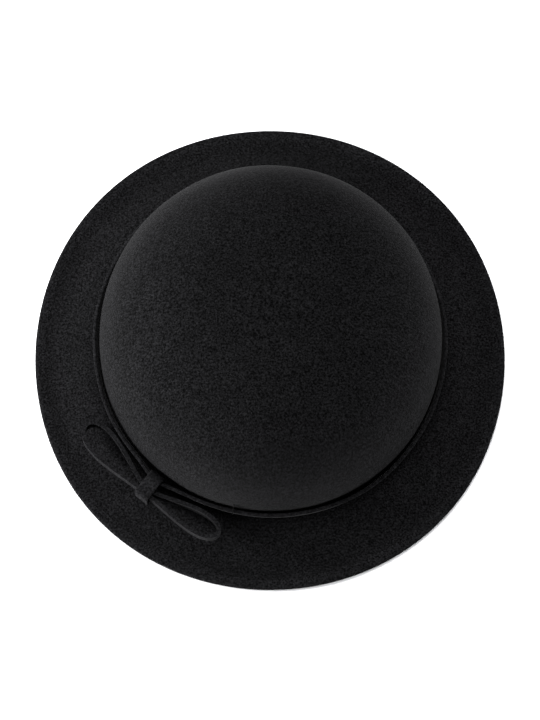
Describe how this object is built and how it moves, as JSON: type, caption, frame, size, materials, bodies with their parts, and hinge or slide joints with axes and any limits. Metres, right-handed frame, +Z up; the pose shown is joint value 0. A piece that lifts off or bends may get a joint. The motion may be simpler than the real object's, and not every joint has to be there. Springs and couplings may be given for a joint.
{
  "type": "bowler hat",
  "caption": "Black wool felt bowler hat: round blocked crown, narrow sloping wired brim with a turned stitched hem, felt band and a small felt bow at the front corner.",
  "frame": {"origin": "centre of the brim's outline, on the plane that the hem stands on", "axes": "+Z up through the crown, -Y towards the front, where the brim is longest, +X towards the wearer's left"},
  "size_m": [0.2572, 0.2572, 0.124],
  "materials": {
    "felt": "matte",
    "ribbon": "matte",
    "thread": "matte",
    "label": "matte",
    "wire": "satin",
    "ferrule": "satin"
  },
  "bodies": {
    "root": {"crown": "felt", "brim": "felt", "brim_wire": "wire", "wire_ferrule": "ferrule", "hem_topstitch": "thread", "hem_bobbin_thread": "thread", "headline_thread": "thread", "hat_band": "felt", "band_tack_front": "thread", "band_tack_back": "thread", "bow_loop_left": "felt", "bow_loop_right": "felt", "bow_knot": "felt", "sweatband": "ribbon", "sweatband_thread": "thread", "sweatband_seam_thread": "thread", "blank_label": "label"}
  },
  "joints": []
}
